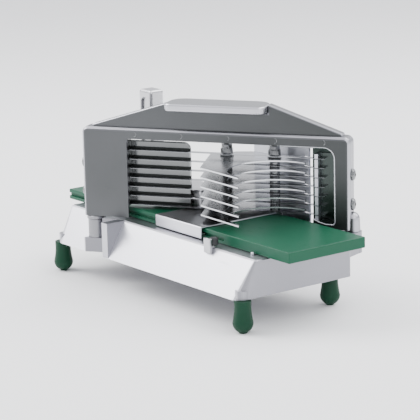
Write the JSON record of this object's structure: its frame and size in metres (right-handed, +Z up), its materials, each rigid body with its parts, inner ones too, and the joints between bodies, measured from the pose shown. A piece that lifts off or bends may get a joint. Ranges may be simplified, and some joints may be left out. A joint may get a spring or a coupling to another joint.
{
  "type": "vegetable dicer",
  "caption": "Bench vegetable dicer: diagonal blade frame over a green slide board, with a finned pusher carriage and upright handle on a cast housing with rubber feet.",
  "frame": {"origin": "centre of the bounding box in plan, at floor level under the rubber feet", "axes": "+X along the slide board towards the outlet end, +Y to the rear (the fence side), +Z up"},
  "size_m": [0.5, 0.2384, 0.2584],
  "materials": {
    "base_housing": "satin cast",
    "blade_1": "polished",
    "blade_2": "polished",
    "blade_3": "polished",
    "blade_4": "polished",
    "blade_5": "polished",
    "blade_6": "polished",
    "blade_7": "polished",
    "blade_comb_left": "brushed",
    "blade_comb_right": "polished",
    "blade_holder_left": "satin cast",
    "blade_holder_right": "brushed",
    "fence_screw_1": "brushed",
    "fence_screw_2": "brushed",
    "fin_1": "polished",
    "fin_2": "polished",
    "fin_3": "polished",
    "fin_4": "polished",
    "fin_5": "polished",
    "fin_6": "polished",
    "foot_front_left": "moulded",
    "foot_front_right": "moulded",
    "foot_rear_left": "moulded",
    "foot_rear_right": "moulded",
    "frame_back_plate": "brushed",
    "frame_spigot": "brushed",
    "frame_washer": "brushed",
    "grip_pad": "brushed",
    "guard_frame": "satin cast",
    "handle": "satin cast",
    "nut_stack_front": "brushed",
    "nut_stack_rear": "brushed",
    "pusher_body": "satin cast",
    "pusher_comb": "polished",
    "rear_fence": "polished",
    "rim_pin": "polished",
    "rod_front": "brushed",
    "rod_rear": "brushed",
    "saddle_plate": "brushed",
    "side_screw_left_lower": "brushed",
    "side_screw_left_upper": "brushed",
    "side_screw_right_lower": "brushed",
    "side_screw_right_upper": "brushed",
    "sleeve_front_1": "brushed",
    "sleeve_front_2": "brushed",
    "sleeve_front_3": "brushed",
    "sleeve_front_4": "brushed",
    "sleeve_front_5": "brushed",
    "sleeve_front_6": "brushed",
    "sleeve_rear_1": "brushed",
    "sleeve_rear_2": "brushed",
    "sleeve_rear_3": "brushed",
    "sleeve_rear_4": "brushed",
    "sleeve_rear_5": "brushed",
    "sleeve_rear_6": "brushed",
    "slide_board": "moulded",
    "stop_bumper": "moulded",
    "stop_tab": "satin cast"
  },
  "bodies": {
    "base": {"base_housing": "base_housing", "blade_1": "blade_1", "blade_2": "blade_2", "blade_3": "blade_3", "blade_4": "blade_4", "blade_5": "blade_5", "blade_6": "blade_6", "blade_7": "blade_7", "blade_comb_left": "blade_comb_left", "blade_comb_right": "blade_comb_right", "blade_holder_left": "blade_holder_left", "blade_holder_right": "blade_holder_right", "fence_screw_1": "fence_screw_1", "fence_screw_2": "fence_screw_2", "foot_front_left": "foot_front_left", "foot_front_right": "foot_front_right", "foot_rear_left": "foot_rear_left", "foot_rear_right": "foot_rear_right", "frame_back_plate": "frame_back_plate", "frame_spigot": "frame_spigot", "frame_washer": "frame_washer", "grip_pad": "grip_pad", "guard_frame": "guard_frame", "rear_fence": "rear_fence", "rim_pin": "rim_pin", "side_screw_left_lower": "side_screw_left_lower", "side_screw_left_upper": "side_screw_left_upper", "side_screw_right_lower": "side_screw_right_lower", "side_screw_right_upper": "side_screw_right_upper", "slide_board": "slide_board", "stop_bumper": "stop_bumper", "stop_tab": "stop_tab"},
    "pusher": {"fin_1": "fin_1", "fin_2": "fin_2", "fin_3": "fin_3", "fin_4": "fin_4", "fin_5": "fin_5", "fin_6": "fin_6", "handle": "handle", "nut_stack_front": "nut_stack_front", "nut_stack_rear": "nut_stack_rear", "pusher_body": "pusher_body", "pusher_comb": "pusher_comb", "rod_front": "rod_front", "rod_rear": "rod_rear", "saddle_plate": "saddle_plate", "sleeve_front_1": "sleeve_front_1", "sleeve_front_2": "sleeve_front_2", "sleeve_front_3": "sleeve_front_3", "sleeve_front_4": "sleeve_front_4", "sleeve_front_5": "sleeve_front_5", "sleeve_front_6": "sleeve_front_6", "sleeve_rear_1": "sleeve_rear_1", "sleeve_rear_2": "sleeve_rear_2", "sleeve_rear_3": "sleeve_rear_3", "sleeve_rear_4": "sleeve_rear_4", "sleeve_rear_5": "sleeve_rear_5", "sleeve_rear_6": "sleeve_rear_6"}
  },
  "joints": [
    {"name": "pusher_slide", "type": "slide", "parent": "base", "child": "pusher", "axis": [1, 0, 0], "range_m": [-0.22, 0]}
  ]
}
